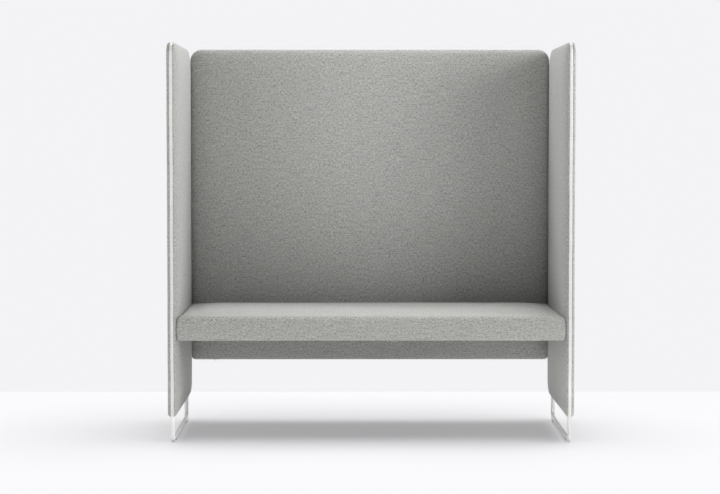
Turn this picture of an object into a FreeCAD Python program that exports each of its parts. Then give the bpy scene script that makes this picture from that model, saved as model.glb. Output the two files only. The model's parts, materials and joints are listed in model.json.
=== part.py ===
import FreeCAD
import Part
import math
import os

from FreeCAD import Vector

# Two-seater sofa with two high side panels, a high back panel between them and a bench seat.
# Millimetres. +X runs along the seat, -Y is the front, +Z is up, the floor is z = 0.

# Overall sizes
width = 1450.0             # over the outer faces of the side panels
panel_depth = 640.0        # front rim to rear rim of a side panel
height = 1425.0            # floor to the upper rims
leg_height = 93.0          # floor to the lower rim of a side panel
seat_height = 463.0        # floor to the crown of the seat
seat_thickness = 98.0
back_clearance = 234.0     # floor to the lower rim of the back
clearance = 0.3            # between pieces that lie against each other
seat_gap = 0.4             # between the seat and the panels around it

# Fabric and foam
fabric = 1.6
outer_foam_thickness = 6.0
side_thickness = 41.5      # outer face to the crown of a side panel
side_roll = 70.0           # how far the inner face of a side panel rolls off towards its rim
outer_roll = 9.0           # the same for its outer face
side_top_radius = 40.0
side_bottom_radius = 12.0
corner_growth = 0.35       # how much rounder the outlines get towards the crown
roll_steps = 3             # of the wide inner and front rolls
tight_steps = 2            # of the tight outer and rear rolls
inside_steps = 4           # flats in a corner on the inside of a cover and along a zip

# Frames
rod_diameter = 16.0        # sled legs
bar_size = 15.0            # square bars inside the panels
rod_inset = 17.0           # rim of a side panel to the centre line of its legs and bars
upper_bar_inset = 28.0     # upper rim to the centre line of the upper bar of a side panel
runner_bend = 22.0
spigot_diameter = 9.0      # upper ends of the sled legs, in the frame above
spigot_length = 26.0
leg_pin_diameter = 4.0
rail_height = 40.0         # flat bar that carries the seat
rail_thickness = 8.0
tab_length = 46.0          # flat tabs that hold the core boards
tab_width = 24.0
tab_thickness = 3.0
board_gap = 2.0            # core board to the bars around it
glide_length = 34.0
glide_thickness = 2.0      # rod to the floor
glide_inset = 90.0         # rim to the middle of a glide

# Zips
zip_band = 11.0            # between the two cover edges
zip_tuck = 0.8             # tape under a cover edge
tape_thickness = 0.8
coil_width = 2.4
coil_height = 1.7
coil_depth = 0.6           # rim to the top of the coils
coil_split = 1.6           # between the two rows
zip_turn = 60.0            # degrees of the lower corner that the zip follows
slider_length = 16.0
slider_plate = 1.8
slider_inner_plate = 1.4
slider_flange = 1.2
slider_neck = 1.0
slider_play = 0.4
slider_rest = 60.0         # lower rim to the middle of a side slider
pin_diameter = 1.6
pin_play = 0.25
eye_wall = 0.95
cheek_thickness = 1.0
pull_width = 7.0
pull_length = 34.0
pull_thickness = 1.4

# Seat
seat_front_inset = 4.0     # front rim of the side panels to the front of the seat
seat_edge_radius = 16.0
seat_end_roll = 0.4        # share of that radius by which the upper edge of an end rolls in
seat_lower_radius = 8.0
seat_crown = 10.0
seat_crown_run = 140.0
crown_steps = 2
seat_bulge = 1.5
seat_corner = 8.0
seat_corner_steps = 4
channel_size = 30.0
channel_wall = 2.5
channel_inset = 24.0       # seat front or rear to a channel
end_plate = 5.0
cross_bar = 4.0
seat_board_thickness = 12.0
lining_thickness = 0.8
hem = 30.0                 # cover turned in under the seat
hem_overlap = 10.0

# Back
back_thickness = 46.0      # rear face to the crown
back_rear_inset = 3.0      # rear rim of the side panels to the rear face
back_bar_inset = 24.0      # back rim to the centre line of the bars inside it
back_roll = 60.0
back_rear_roll = 10.0
back_top_radius = 44.0
back_bottom_radius = 16.0
back_side_gap = 0.8        # back rim to the side panel beside it
back_zip_inset = 60.0      # rim to the end of the zip in the lower edge
back_slider_rest = 30.0    # zip end to the middle of the slider

# Fixings, drawn with flat sides
fixing_sides = 6
bolt_diameter = 8.0
bolt_head = 14.0
bolt_head_height = 4.0
bolt_play = 0.6
sleeve_diameter = 16.0
nut_size = 15.0
nut_height = 6.5
seat_bolt_inset = 130.0
back_bolt_low = 65.0       # lower rim of the back to the lowest bolt
back_bolt_high = 125.0     # upper rim to the highest bolt
screw_diameter = 4.0
screw_head = 7.6
screw_head_height = 2.2
screw_length = 12.0
screw_play = 0.6

# Levels through a panel, from its outer face inwards
skin = fabric + clearance
core_start = skin + outer_foam_thickness + clearance
core_end = core_start + rod_diameter
rod_level = core_start + rod_diameter / 2
bar_outer = rod_level - bar_size / 2
bar_inner = rod_level + bar_size / 2
tab_level = core_start + screw_head_height + clearance
zip_outer_edge = rod_level - zip_band / 2
zip_inner_edge = rod_level + zip_band / 2

# Levels under a rim, inwards: the coils, the tapes and the slider around them
tape_level = coil_depth + coil_height
slider_top = coil_depth - slider_play - slider_plate
slider_under = tape_level + tape_thickness + slider_play
chain_half = coil_split / 2 + coil_width
slider_half = chain_half + slider_play + slider_flange
eye_radius = pin_diameter / 2 + pin_play + eye_wall
pin_level = slider_top - clearance - eye_radius
slider_proud = eye_radius - pin_level

# Places in the whole sofa
front_rim = -(panel_depth + slider_proud) / 2
rear_rim = front_rim + panel_depth
front_rod = front_rim + rod_inset
rear_rod = rear_rim - rod_inset
runner_level = glide_thickness + rod_diameter / 2
upper_bar = height - upper_bar_inset
lower_bar = leg_height + rod_inset
leg_top = lower_bar - bar_size / 2
leg_pin_level = leg_top + spigot_length / 2
seat_bottom = seat_height - seat_thickness
channel_bottom = seat_bottom + skin
channel_top = channel_bottom + channel_size
plate_bottom = channel_bottom + seat_lower_radius
seat_bolt_level = (plate_bottom + channel_top) / 2
rail_bottom = seat_bolt_level - rail_height / 2
rail_top = rail_bottom + rail_height
back_rear = rear_rim - back_rear_inset
back_face = back_rear - back_thickness
back_rod = back_rear - rod_level
seat_front = front_rim + seat_front_inset
seat_rear = back_face - seat_gap - seat_bulge
seat_end = side_thickness + seat_gap + seat_bulge
seat_half = width / 2 - seat_end
plate_half = seat_half - skin
seat_bolts_at = [seat_front + seat_bolt_inset, seat_rear - seat_bolt_inset]
back_bolts_at = [back_clearance + back_bolt_low, 0.0, height - back_bolt_high]
back_bolts_at[1] = (back_bolts_at[0] + back_bolts_at[2]) / 2


def side_face_level(inset):
    """Level of a side panel's rolled inner face at a distance in from its rim."""
    turn = math.acos(1 - min(inset, side_roll) / side_roll)
    return zip_inner_edge + (side_thickness - zip_inner_edge) * math.sin(turn)


back_half = width / 2 - side_face_level(back_rear_inset + zip_inner_edge) - back_side_gap


# Helpers
def box(x0, x1, y0, y1, z0, z1):
    return Part.makeBox(x1 - x0, y1 - y0, z1 - z0, Vector(x0, y0, z0))


def cylinder_x(x0, x1, y, z, diameter):
    return Part.makeCylinder(diameter / 2, x1 - x0, Vector(x0, y, z), Vector(1, 0, 0))


def stud(start, along, length, diameter, sides=fixing_sides):
    """Flat-sided pin for the fixings and their holes."""
    across = Vector(0, 0, 1) if abs(along.z) < 0.5 else Vector(1, 0, 0)
    other = along.cross(across)
    corners = []
    for step in range(sides + 1):
        turn = 2 * math.pi * (step + 0.5) / sides
        reach = across * math.cos(turn) + other * math.sin(turn)
        corners.append(start + reach * (diameter / 2))
    return Part.Face(Part.makePolygon(corners)).extrude(along * length)


def stud_x(x0, x1, y, z, diameter):
    return stud(Vector(x0, y, z), Vector(1, 0, 0), x1 - x0, diameter)


def screw(start, along, play):
    """Screw whose head lies on a surface at the start and whose shank runs along the way given."""
    head = stud(start - along * screw_head_height, along, screw_head_height, screw_head + play)
    return head.fuse(stud(start, along, screw_length + play, screw_diameter + play))


def fused(shapes):
    return shapes[0].multiFuse(shapes[1:]).removeSplitter()


def cut(shape, tools):
    return shape.cut(Part.makeCompound(tools))


def panel_space(level):
    """Side panel: x is the level in from the outer face, outlines lie across Y and Z."""
    return lambda a, b: Vector(level, a, b)


def back_space(level):
    """Back panel: the level runs forward from the rear face, outlines lie across X and Z."""
    return lambda a, b: Vector(a, back_rear - level, b)


def seat_space(level):
    return lambda a, b: Vector(a, b, level)


def arc(centre, radius, start, end, to_space):
    """Arc between two angles in degrees."""
    points = []
    for angle in (start, (start + end) / 2, end):
        turn = math.radians(angle)
        points.append(to_space(centre[0] + radius * math.cos(turn), centre[1] + radius * math.sin(turn)))
    return Part.Arc(*points).toShape()


def line(start, end, to_space):
    return Part.makeLine(to_space(*start), to_space(*end))


def turned(centre, radius, start, end, to_space, flats):
    """Edges of a corner between two angles in degrees, as one arc or as a number of flats."""
    if flats == 0:
        return [arc(centre, radius, start, end, to_space)]
    points = []
    for step in range(flats + 1):
        turn = math.radians(start + (end - start) * step / flats)
        points.append(to_space(centre[0] + radius * math.cos(turn), centre[1] + radius * math.sin(turn)))
    return [Part.makeLine(points[k], points[k + 1]) for k in range(flats)]


def corner(centre, radius, start, to_space, flats):
    return turned(centre, radius, start, start + 90, to_space, flats)


def rounded_rectangle(a0, a1, b0, b1, low, high, to_space, flats=0):
    """Closed outline with one radius for its two lower and another for its two upper corners."""
    edges = [line((a0 + low, b0), (a1 - low, b0), to_space)]
    edges += corner((a1 - low, b0 + low), low, -90, to_space, flats)
    edges.append(line((a1, b0 + low), (a1, b1 - high), to_space))
    edges += corner((a1 - high, b1 - high), high, 0, to_space, flats)
    edges.append(line((a1 - high, b1), (a0 + high, b1), to_space))
    edges += corner((a0 + high, b1 - high), high, 90, to_space, flats)
    edges.append(line((a0, b1 - high), (a0, b0 + low), to_space))
    edges += corner((a0 + low, b0 + low), low, 180, to_space, flats)
    return Part.Wire(edges)


def loft(outlines):
    """Solid through a stack of outlines: of flat strips where all their edges are straight, else ruled."""
    if any(edge.Curve.TypeId != "Part::GeomLine" for edge in outlines[0].Edges):
        return Part.makeLoft(outlines, True, True)
    loops = [[vertex.Point for vertex in outline.OrderedVertexes] for outline in outlines]
    faces = [Part.Face(outlines[0]), Part.Face(outlines[-1])]
    for low, high in zip(loops, loops[1:]):
        for k in range(len(low)):
            strip = [low[k - 1], low[k], high[k], high[k - 1], low[k - 1]]
            faces.append(Part.Face(Part.makePolygon(strip)))
    solid = Part.Solid(Part.Shell(faces))
    return solid if solid.Volume > 0 else solid.reversed()


def corner_radius(radius, inset, layer):
    """Radius of an outline's corner: rounder towards the crown, tighter for a layer under the fabric."""
    return radius + corner_growth * (inset - layer) - layer


def rolled_sections(edge, face, roll, inset, start, steps):
    """Pairs (inset from the rim, level) along a quarter ellipse from a zip edge to the crown."""
    rise = abs(face - edge) - inset
    way = math.copysign(1.0, face - edge)
    pairs = []
    for step in range(steps + 1):
        turn = math.pi / 2 * (step / steps) ** 1.3
        pairs.append((inset + (roll - inset) * (1 - math.cos(turn)), edge + way * rise * math.sin(turn)))
    kept = [pair for pair in pairs if abs(pair[1] - edge) > abs(start - edge)]
    below = pairs[len(pairs) - len(kept) - 1]
    share = (start - below[1]) / (kept[0][1] - below[1])
    first = (below[0] + share * (kept[0][0] - below[0]), start)
    return [first] + kept


def round_bar(wire, diameter):
    """Rod along a path of lines and arcs."""
    pieces = []
    for edge in wire.Edges:
        start = edge.valueAt(edge.FirstParameter)
        along = edge.tangentAt(edge.FirstParameter)
        if edge.Curve.TypeId == "Part::GeomLine":
            pieces.append(Part.makeCylinder(diameter / 2, edge.Length, start, along))
        else:
            disc = Part.Face(Part.Wire(Part.makeCircle(diameter / 2, start, along)))
            sweep = math.degrees(edge.LastParameter - edge.FirstParameter)
            pieces.append(disc.revolve(edge.Curve.Center, edge.Curve.Axis, sweep))
    return fused(pieces)


# Side panels, made once in panel space
def side_outline(inset, level, layer, flats):
    return rounded_rectangle(
        front_rim + inset, rear_rim - inset, leg_height + inset, height - inset,
        corner_radius(side_bottom_radius, inset, layer), corner_radius(side_top_radius, inset, layer),
        panel_space(level), flats)


def side_form(sections, layer, flats):
    return loft([side_outline(e, t, layer, flats) for e, t in sections])


def inner_form(layer, start, flats):
    sections = rolled_sections(zip_inner_edge, side_thickness, side_roll, layer, start, roll_steps)
    return side_form(sections, layer, flats)


def outer_form(layer, start, flats):
    sections = rolled_sections(zip_outer_edge, 0.0, outer_roll, layer, start, tight_steps)
    return side_form(sections, layer, flats)


def sleeve_holes():
    """Openings through the inner half of a side panel for the sleeves of the seat and the back."""
    size = sleeve_diameter + clearance * 4
    holes = [stud_x(0.0, side_thickness * 2, y, seat_bolt_level, size) for y in seat_bolts_at]
    holes += [stud_x(0.0, side_thickness * 2, back_rod, z, size) for z in back_bolts_at]
    return holes


def leg_notches():
    size = rod_diameter + clearance * 4
    return [
        stud(Vector(rod_level, y, 0), Vector(0, 0, 1), lower_bar, size, fixing_sides * 2)
        for y in (front_rod, rear_rod)]


def tab_places():
    """Middle of each tab on the uprights: two per upright for the upper board, one for the lower."""
    upper_run = upper_bar - rail_top
    heights = [rail_top + upper_run * share for share in (0.25, 0.75)]
    heights.append((lower_bar + rail_bottom) / 2)
    return [(y, way, z) for y, way in ((front_rod, 1), (rear_rod, -1)) for z in heights]


def tab_box(y, way, z):
    """Tab from the middle of an upright into the loop."""
    ends = sorted((y, y + way * tab_length))
    half = tab_width / 2
    return box(tab_level, tab_level + tab_thickness, ends[0], ends[1], z - half, z + half)


def tab_pocket(y, way, z):
    ends = sorted((y, y + way * (tab_length + clearance)))
    half = tab_width / 2 + clearance
    return box(0.0, tab_level + tab_thickness + clearance, ends[0], ends[1], z - half, z + half)


def tab_screw(y, way, z, play):
    return screw(Vector(tab_level, y + way * (tab_length - tab_width / 2), z), Vector(1, 0, 0), play)


def leg_spigot(y, play):
    """Upper end of a sled leg, or with play its socket in the upright above."""
    return stud(Vector(rod_level, y, leg_top), Vector(0, 0, 1), spigot_length + play, spigot_diameter + play)


def leg_pin(y, play):
    """Cross pin that locks a spigot in its socket."""
    return stud_x(bar_outer, bar_inner, y, leg_pin_level, leg_pin_diameter + play)


def side_sled():
    """Round rod bent into two legs and a runner, with a spigot on each upper end."""
    space = panel_space(rod_level)
    bend = runner_bend
    path = Part.Wire([
        line((front_rod, leg_top), (front_rod, runner_level + bend), space),
        arc((front_rod + bend, runner_level + bend), bend, 180, 270, space),
        line((front_rod + bend, runner_level), (rear_rod - bend, runner_level), space),
        arc((rear_rod - bend, runner_level + bend), bend, 270, 360, space),
        line((rear_rod, runner_level + bend), (rear_rod, leg_top), space),
    ])
    ends = (front_rod, rear_rod)
    rod = fused([round_bar(path, rod_diameter)] + [leg_spigot(y, 0.0) for y in ends])
    return cut(rod, [leg_pin(y, clearance * 2) for y in ends])


def side_frame():
    """Square bars inside the panel with the seat rail, the board tabs and sockets for the sled leg."""
    half = bar_size / 2
    loop = box(bar_outer, bar_inner, front_rod - half, rear_rod + half, leg_top, upper_bar + half)
    opening = box(bar_outer, bar_inner, front_rod + half, rear_rod - half, lower_bar + half, upper_bar - half)
    rail_outer = rod_level - rail_thickness / 2
    rail = box(rail_outer, rail_outer + rail_thickness, front_rod, rear_rod, rail_bottom, rail_top)
    tabs = [tab_box(y, way, z) for y, way, z in tab_places()]
    bolt_hole = bolt_diameter + bolt_play
    holes = [stud_x(0.0, side_thickness, back_rod, z, bolt_hole) for z in back_bolts_at]
    holes += [stud_x(0.0, side_thickness, y, seat_bolt_level, bolt_hole) for y in seat_bolts_at]
    holes += [tab_screw(y, way, z, screw_play) for y, way, z in tab_places()]
    for y in (front_rod, rear_rod):
        holes += [leg_spigot(y, clearance * 2), leg_pin(y, clearance * 2)]
    return cut(fused([loop.cut(opening), rail] + tabs), holes)


def board_screws():
    return Part.makeCompound([tab_screw(y, way, z, 0.0) for y, way, z in tab_places()])


def core_board(z0, z1):
    """Plywood between the bars, with pockets for the tabs and holes for their screws."""
    margin = bar_size / 2 + board_gap
    board = box(core_start, core_end, front_rod + margin, rear_rod - margin, z0, z1)
    pockets = [tab_pocket(y, way, z) for y, way, z in tab_places()]
    pockets += [tab_screw(y, way, z, screw_play) for y, way, z in tab_places()]
    return cut(board, pockets)


def upper_board():
    return core_board(rail_top + board_gap, upper_bar - bar_size / 2 - board_gap)


def lower_board():
    return core_board(lower_bar + bar_size / 2 + board_gap, rail_bottom - board_gap)


def inner_foam():
    return cut(inner_form(skin, core_end + clearance, 1), sleeve_holes())


def inner_cover():
    shell = inner_form(0.0, zip_inner_edge, 0).cut(inner_form(fabric, zip_inner_edge, inside_steps))
    flap = box(
        zip_outer_edge + clearance, zip_inner_edge + fabric,
        front_rod, rear_rod, leg_height, leg_height + fabric)
    return cut(fused([shell, flap]), sleeve_holes() + leg_notches())


def outer_foam():
    size = bolt_head + clearance * 4
    start = bar_outer - bolt_head_height - clearance
    pockets = [stud_x(start, core_start, back_rod, z, size) for z in back_bolts_at]
    return cut(outer_form(skin, core_start - clearance, 1), pockets)


def outer_cover():
    shell = outer_form(0.0, zip_outer_edge, 0).cut(outer_form(fabric, zip_outer_edge, inside_steps))
    return cut(shell, leg_notches())


def rim_edges(depth, turn, forward):
    """Edges along the front, upper and rear rim at a depth under it, down to part of each lower corner."""
    space = panel_space(0.0)
    low = side_bottom_radius
    high = side_top_radius
    flats = inside_steps
    edges = turned((front_rim + low, leg_height + low), low - depth, 180 + turn, 180, space, flats)
    edges.append(line((front_rim + depth, leg_height + low), (front_rim + depth, height - high), space))
    edges += turned((front_rim + high, height - high), high - depth, 180, 90, space, flats)
    edges.append(line((front_rim + high, height - depth), (rear_rim - high, height - depth), space))
    edges += turned((rear_rim - high, height - high), high - depth, 90, 0, space, flats)
    edges.append(line((rear_rim - depth, height - high), (rear_rim - depth, leg_height + low), space))
    edges += turned((rear_rim - low, leg_height + low), low - depth, 0, -turn, space, flats)
    return edges if forward else edges[::-1]


def rim_band(depth0, depth1, level0, level1):
    """Strip that follows the rim, between two depths under it and two levels through the panel."""
    outside = rim_edges(depth0, zip_turn, True)
    inside = rim_edges(depth1, zip_turn, False)
    ends = [
        Part.makeLine(outside[-1].Vertexes[-1].Point, inside[0].Vertexes[-1].Point),
        Part.makeLine(inside[-1].Vertexes[0].Point, outside[0].Vertexes[0].Point),
    ]
    outline = Part.Wire(Part.__sortEdges__(outside + inside + ends))
    strip = Part.Face(outline).extrude(Vector(level1 - level0, 0, 0))
    return strip.translated(Vector(level0, 0, 0))


def side_stringer(way):
    """Tape with its coil; way -1 is the half on the outer cover, +1 the half on the inner cover."""
    coil = sorted((rod_level + way * coil_split / 2, rod_level + way * chain_half))
    tape = sorted((rod_level + way * coil_split / 2, rod_level + way * (zip_band / 2 + zip_tuck)))
    return fused([
        rim_band(coil_depth, tape_level, coil[0], coil[1]),
        rim_band(tape_level, tape_level + tape_thickness, tape[0], tape[1]),
    ])


def slider_body():
    """Slider on a rim that faces +Y at y = 0, its chain along Z through x = 0, its middle at z = 0."""
    half = slider_length / 2
    plate_under = slider_top + slider_plate
    pieces = [
        box(-slider_half, slider_half, -plate_under, -slider_top, -half, half),
        box(-slider_half, slider_half, -slider_under - slider_inner_plate, -slider_under, -half, half),
        box(-slider_neck / 2, slider_neck / 2, -slider_under, -plate_under, -half, -half + slider_length / 3),
    ]
    for way in (-1, 1):
        inside = chain_half + slider_play
        ends = sorted((way * inside, way * slider_half))
        pieces.append(box(ends[0], ends[1], -tape_level + slider_play, -plate_under, -half, half))
        inside = slider_neck / 2 + pull_eye_half() + clearance
        ends = sorted((way * inside, way * (inside + cheek_thickness)))
        cheek = pin_diameter / 2 + cheek_thickness
        pieces.append(box(ends[0], ends[1], -slider_top, -pin_level + cheek, -cheek, cheek))
    reach = slider_neck / 2 + pull_eye_half() + clearance
    pieces.append(cylinder_x(-reach, reach, -pin_level, 0.0, pin_diameter))
    return fused(pieces)


def pull_eye_half():
    return pull_width / 2 - cheek_thickness * 2


def pull_tab():
    """Tab that hangs from the slider's pin, in the slider's own place."""
    half = slider_neck / 2 + pull_eye_half()
    eye = cylinder_x(-half, half, -pin_level, 0.0, eye_radius * 2)
    neck_end = pin_diameter / 2 + cheek_thickness + eye_radius
    y0 = -pin_level - pull_thickness / 2
    y1 = y0 + pull_thickness
    neck = box(-half, half, y0, y1, -neck_end - eye_wall, 0.0)
    outline = rounded_rectangle(
        -pull_width / 2, pull_width / 2, -pull_length, -neck_end, pull_width / 2.5, pull_thickness / 2,
        lambda a, b: Vector(a, y0, b), 1)
    plate = Part.Face(outline).extrude(Vector(0, pull_thickness, 0))
    hole = cylinder_x(-half, half, -pin_level, 0.0, pin_diameter + pin_play * 2)
    return cut(fused([eye, neck, plate]), [hole])


def side_slider_place():
    return Vector(rod_level, rear_rim, leg_height + slider_rest)


def glides():
    pads = []
    for y in (front_rim + glide_inset, rear_rim - glide_inset):
        half = rod_diameter / 2
        start = y - glide_length / 2
        pad = box(rod_level - half, rod_level + half, start, start + glide_length, 0.0, runner_level)
        middle = Vector(rod_level, start, runner_level)
        pads.append(pad.cut(Part.makeCylinder(half + clearance / 3, glide_length, middle, Vector(0, 1, 0))))
    return Part.makeCompound(pads)


# Seat
def seat_end_line():
    """Points (across, along) of a seat end, from its front corner back along the side panel's rolled face."""
    start = seat_front + seat_corner
    pairs = rolled_sections(zip_inner_edge, side_thickness, side_roll, 0.0, zip_inner_edge, roll_steps)
    spots = [(width / 2 - t - seat_gap - seat_bulge, front_rim + e) for e, t in pairs]
    behind = [spot for spot in spots if spot[1] > start]
    before = spots[len(spots) - len(behind) - 1]
    share = (start - before[1]) / (behind[0][1] - before[1])
    return [(before[0] + share * (behind[0][0] - before[0]), start)] + behind


def seat_outline(inset, end_inset, level, flats=seat_corner_steps):
    """Plan of the seat, its ends drawn along the rolled faces of the side panels."""
    space = seat_space(level)
    radius = seat_corner
    front = seat_front + inset
    rear = seat_rear - inset
    ends = [(x - end_inset, y + inset) for x, y in seat_end_line()]
    wide = ends[0][0]
    half = ends[-1][0]
    run = ends + [(half, rear - radius)]
    edges = [line((radius - wide, front), (wide - radius, front), space)]
    edges += corner((wide - radius, front + radius), radius, -90, space, flats)
    edges += [line(run[k], run[k + 1], space) for k in range(len(run) - 1)]
    edges += corner((half - radius, rear - radius), radius, 0, space, flats)
    edges.append(line((half - radius, rear), (radius - half, rear), space))
    edges += corner((radius - half, rear - radius), radius, 90, space, flats)
    back_run = [(-x, y) for x, y in run[::-1]]
    edges += [line(back_run[k], back_run[k + 1], space) for k in range(len(back_run) - 1)]
    edges += corner((radius - wide, front + radius), radius, 180, space, flats)
    return Part.Wire(edges)


def seat_edge_sections():
    """Pairs (inset, height over the seat's bottom) from the lower edge over the bulge to the upper edge."""
    upper = seat_thickness - seat_crown - seat_edge_radius
    pairs = []
    for angle in (0, 45, 90):
        turn = math.radians(angle)
        pairs.append((seat_lower_radius * (1 - math.sin(turn)), seat_lower_radius * (1 - math.cos(turn))))
    pairs.append((-seat_bulge, (seat_lower_radius + upper) / 2))
    for angle in (0, 45, 80):
        turn = math.radians(angle)
        pairs.append((seat_edge_radius * (1 - math.cos(turn)), upper + seat_edge_radius * math.sin(turn)))
    return pairs


def seat_crown_sections():
    """Pairs from the upper edge on, rising to the flat of the crown."""
    inset, level = seat_edge_sections()[-1]
    pairs = []
    for step in range(crown_steps + 1):
        share = step / crown_steps
        lift = (seat_thickness - level) * math.sin(math.pi / 2 * share)
        pairs.append((inset + (seat_crown_run - inset) * share, level + lift))
    return pairs


def seat_end_inset(inset, level):
    """Inset of the ends, whose upper edge rolls in less than those of the front and rear."""
    if level < seat_thickness / 2:
        return inset
    return inset - (1 - seat_end_roll) * min(max(inset, 0.0), seat_edge_radius)


def seat_form(layer):
    scale = (seat_thickness - 2 * layer) / seat_thickness
    flats = 1 if layer > 0 else seat_corner_steps
    wires = []
    for inset, level in seat_edge_sections() + seat_crown_sections()[1:]:
        end_inset = seat_end_inset(inset, level) + layer
        wires.append(seat_outline(inset + layer, end_inset, seat_bottom + layer + level * scale, flats))
    return loft(wires)


def seat_channels():
    return [(seat_front + channel_inset, 1), (seat_rear - channel_inset, -1)]


def seat_screw_places():
    run = plate_half * 0.8
    return [(x, y + way * channel_size / 2) for y, way in seat_channels() for x in (-run, 0.0, run)]


def seat_frame():
    """Two channels, cut back under their ends, two end plates with weld nuts and two cross bars."""
    pieces = []
    inner = plate_half - end_plate
    ends = [y for y, way in seat_channels()]
    for y, way in seat_channels():
        sides = sorted((y, y + way * channel_size))
        hollow = sorted((y + way * channel_wall, y + way * channel_size))
        bar = box(-inner, inner, sides[0], sides[1], channel_bottom, channel_top)
        pieces.append(bar.cut(box(
            -inner, inner, hollow[0], hollow[1], channel_bottom + channel_wall, channel_top - channel_wall)))
    for way in (-1, 1):
        plate = sorted((way * inner, way * plate_half))
        pieces.append(box(plate[0], plate[1], ends[0], ends[1], plate_bottom, channel_top))
        nut = sorted((way * (inner - nut_height), way * inner))
        for y in seat_bolts_at:
            pieces.append(stud_x(nut[0], nut[1], y, seat_bolt_level, nut_size))
        bar = way * inner / 3
        pieces.append(box(
            bar - cross_bar / 2, bar + cross_bar / 2, ends[0] + channel_wall / 2, ends[1] - channel_wall / 2,
            channel_bottom, channel_top - channel_wall / 2))
    size = bolt_diameter + bolt_play
    holes = [stud_x(-width / 2, width / 2, y, seat_bolt_level, size) for y in seat_bolts_at]
    holes += [seat_screw(x, y, screw_play) for x, y in seat_screw_places()]
    relief = inner - seat_lower_radius
    for way in (-1, 1):
        end = sorted((way * relief, way * inner))
        holes.append(box(end[0], end[1], seat_front, seat_rear, channel_bottom, plate_bottom))
    return cut(fused(pieces), holes)


def seat_screw(x, y, play):
    return screw(Vector(x, y, channel_top - channel_wall), Vector(0, 0, 1), play)


def seat_board():
    ends = [y for y, way in seat_channels()]
    board = box(-plate_half, plate_half, ends[0], ends[1], channel_top, channel_top + seat_board_thickness)
    return cut(board, [seat_screw(x, y, screw_play) for x, y in seat_screw_places()])


def seat_board_screws():
    return Part.makeCompound([seat_screw(x, y, 0.0) for x, y in seat_screw_places()])


def seat_foam():
    ends = [y for y, way in seat_channels()]
    pocket = box(
        -width / 2, width / 2, ends[0] - clearance, ends[1] + clearance, 0.0,
        channel_top + seat_board_thickness + clearance)
    return seat_form(skin).cut(pocket)


def seat_cover():
    opening = Part.Face(seat_outline(hem, hem, seat_bottom - fabric)).extrude(Vector(0, 0, fabric * 3))
    size = sleeve_diameter + clearance * 4
    holes = [stud_x(-width / 2, width / 2, y, seat_bolt_level, size) for y in seat_bolts_at]
    return cut(seat_form(0.0), [seat_form(fabric), opening] + holes)


def seat_lining():
    inset = hem - hem_overlap
    sheet = Part.Face(seat_outline(inset, inset, seat_bottom - lining_thickness))
    return sheet.extrude(Vector(0, 0, lining_thickness))


# Back
def back_outline(inset, level, layer, flats):
    return rounded_rectangle(
        -back_half + inset, back_half - inset, back_clearance + inset, height - inset,
        corner_radius(back_bottom_radius, inset, layer), corner_radius(back_top_radius, inset, layer),
        back_space(level), flats)


def back_loft(sections, layer, flats):
    return loft([back_outline(e, t, layer, flats) for e, t in sections])


def back_front_form(layer, start, flats):
    sections = rolled_sections(zip_inner_edge, back_thickness, back_roll, layer, start, roll_steps)
    return back_loft(sections, layer, flats)


def back_rear_form(layer, start, flats):
    sections = rolled_sections(zip_outer_edge, 0.0, back_rear_roll, layer, start, tight_steps)
    return back_loft(sections, layer, flats)


def back_form(layer, flats):
    band = Part.Face(back_outline(layer, zip_outer_edge, layer, flats)).extrude(Vector(0, -zip_band, 0))
    rear = back_rear_form(layer, zip_outer_edge, flats)
    return fused([rear, band, back_front_form(layer, zip_inner_edge, flats)])


def back_bars():
    """Centre lines of the back's loop: left, right, low and high."""
    side = back_half - back_bar_inset
    return -side, side, back_clearance + back_bar_inset, height - back_bar_inset


def back_tab_places():
    left, right, low, high = back_bars()
    heights = [low + (high - low) * share for share in (0.2, 0.5, 0.8)]
    return [(x, way, z) for x, way in ((left, 1), (right, -1)) for z in heights]


def back_tab(x, way, z):
    ends = sorted((x, x + way * tab_length))
    half = tab_width / 2
    level = back_rear - tab_level
    return box(ends[0], ends[1], level - tab_thickness, level, z - half, z + half)


def back_tab_pocket(x, way, z):
    ends = sorted((x, x + way * (tab_length + clearance)))
    half = tab_width / 2 + clearance
    front = back_rear - tab_level - tab_thickness - clearance
    return box(ends[0], ends[1], front, back_rear, z - half, z + half)


def back_screw(x, way, z, play):
    """Screw driven forward from the rear of a tab."""
    start = Vector(x + way * (tab_length - tab_width / 2), back_rear - tab_level, z)
    return screw(start, Vector(0, -1, 0), play)


def back_frame():
    left, right, low, high = back_bars()
    half = bar_size / 2
    rear = back_rod + half
    front = back_rod - half
    loop = box(left - half, right + half, front, rear, low - half, high + half)
    opening = box(left + half, right - half, front, rear, low + half, high - half)
    tabs = [back_tab(x, way, z) for x, way, z in back_tab_places()]
    holes = [back_screw(x, way, z, screw_play) for x, way, z in back_tab_places()]
    holes += [stud_x(-width / 2, width / 2, back_rod, z, bolt_diameter + bolt_play) for z in back_bolts_at]
    return cut(fused([loop.cut(opening)] + tabs), holes)


def back_board():
    left, right, low, high = back_bars()
    margin = bar_size / 2 + board_gap
    board = box(
        left + margin, right - margin,
        back_rear - core_end, back_rear - core_start, low + margin, high - margin)
    pockets = [back_tab_pocket(x, way, z) for x, way, z in back_tab_places()]
    pockets += [back_screw(x, way, z, screw_play) for x, way, z in back_tab_places()]
    return cut(board, pockets)


def back_board_screws():
    return Part.makeCompound([back_screw(x, way, z, 0.0) for x, way, z in back_tab_places()])


def back_front_foam():
    return back_front_form(skin, core_end + clearance, 1)


def back_rear_foam():
    return back_rear_form(skin, core_start - clearance, 1)


def back_zip_half():
    return back_half - back_zip_inset


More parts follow.
